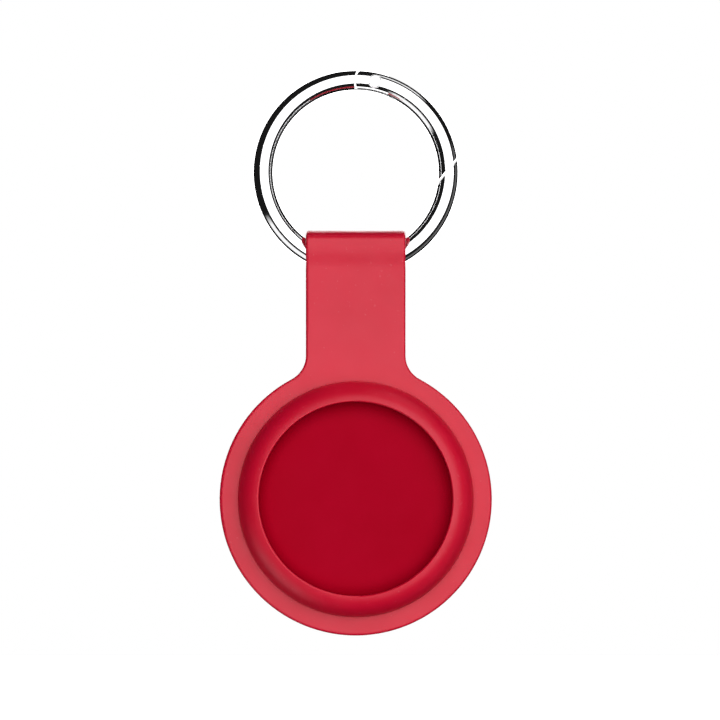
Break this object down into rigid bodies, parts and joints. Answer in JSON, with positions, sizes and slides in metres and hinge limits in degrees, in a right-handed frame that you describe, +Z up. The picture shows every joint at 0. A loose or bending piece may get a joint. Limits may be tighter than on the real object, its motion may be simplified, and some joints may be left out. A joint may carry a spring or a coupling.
{
  "type": "bluetooth tracker tag",
  "caption": "Coin-shaped wireless tracker in a red silicone strap case that hangs from a chromed spring-gate key ring.",
  "frame": {"origin": "centre of the ring's eye, in the middle of the wire", "axes": "+Z up from the case to the ring, +Y towards the back of the case, +X to the right seen from the front"},
  "size_m": [0.0408, 0.0116, 0.0853],
  "materials": {
    "chrome": "polished chrome plate",
    "silicone": "matte moulded silicone, red",
    "casing": "satin moulded plastic, dark crimson",
    "steel": "turned and brushed stainless steel",
    "spring_steel": "drawn spring wire",
    "seal": "black seal rubber",
    "cell": "plated cell can",
    "board": "solder mask over glass laminate",
    "contact": "gold-plated spring bronze",
    "can": "tinned sheet",
    "chip": "moulded black package",
    "passive": "ceramic chip components",
    "brass": "rolled brass sheet",
    "piezo": "silvered piezo ceramic"
  },
  "bodies": {
    "ring": {"ring_body": "chrome", "gate_pin": "chrome"},
    "gate": {"ring_gate": "chrome", "gate_spring": "spring_steel"},
    "plunger": {"gate_plunger": "steel"},
    "holder": {"silicone_holder": "silicone"},
    "tracker": {"front_cover": "casing", "rear_shell": "casing", "shell_gasket": "seal", "coin_cell": "cell", "circuit_board": "board", "pcb_screws": "steel", "shield_can": "can", "radio_chip": "chip", "crystal": "can", "motion_sensor": "chip", "chip_components": "passive", "antenna_strip": "contact", "negative_contact": "contact", "positive_contacts": "contact", "buzzer_plate": "brass", "buzzer_ceramic": "piezo", "buzzer_springs": "contact"},
    "door": {"battery_door": "steel", "door_seal": "seal"}
  },
  "joints": [
    {"name": "gate_hinge", "type": "hinge", "parent": "ring", "child": "gate", "pos_m": [0.00291, 0, 0.01369], "axis": [0, 1, 0], "range_deg": [0, 30], "stiffness_Nm_per_rad": 0.01, "springref_deg": -57.3},
    {"name": "plunger_slide", "type": "slide", "parent": "gate", "child": "plunger", "axis": [0.8829, 0, -0.4695], "range_m": [0, 0.0004], "deforming": ["gate_spring"]},
    {"name": "holder_swing", "type": "hinge", "parent": "ring", "child": "holder", "pos_m": [0, 0, -0.01288], "axis": [1, 0, 0], "range_deg": [-130, 150]},
    {"name": "tracker_release", "type": "slide", "parent": "holder", "child": "tracker", "axis": [0, -1, 0], "range_m": [0, 0.013], "deforming": ["silicone_holder"]},
    {"name": "door_twist", "type": "hinge", "parent": "tracker", "child": "door", "pos_m": [0, 0.003, -0.0494], "axis": [0, 1, 0], "range_deg": [0, 30]}
  ],
  "couplings": [
    {"joint": "plunger_slide", "follows": "gate_hinge", "m_per_rad": 0.00066845}
  ]
}
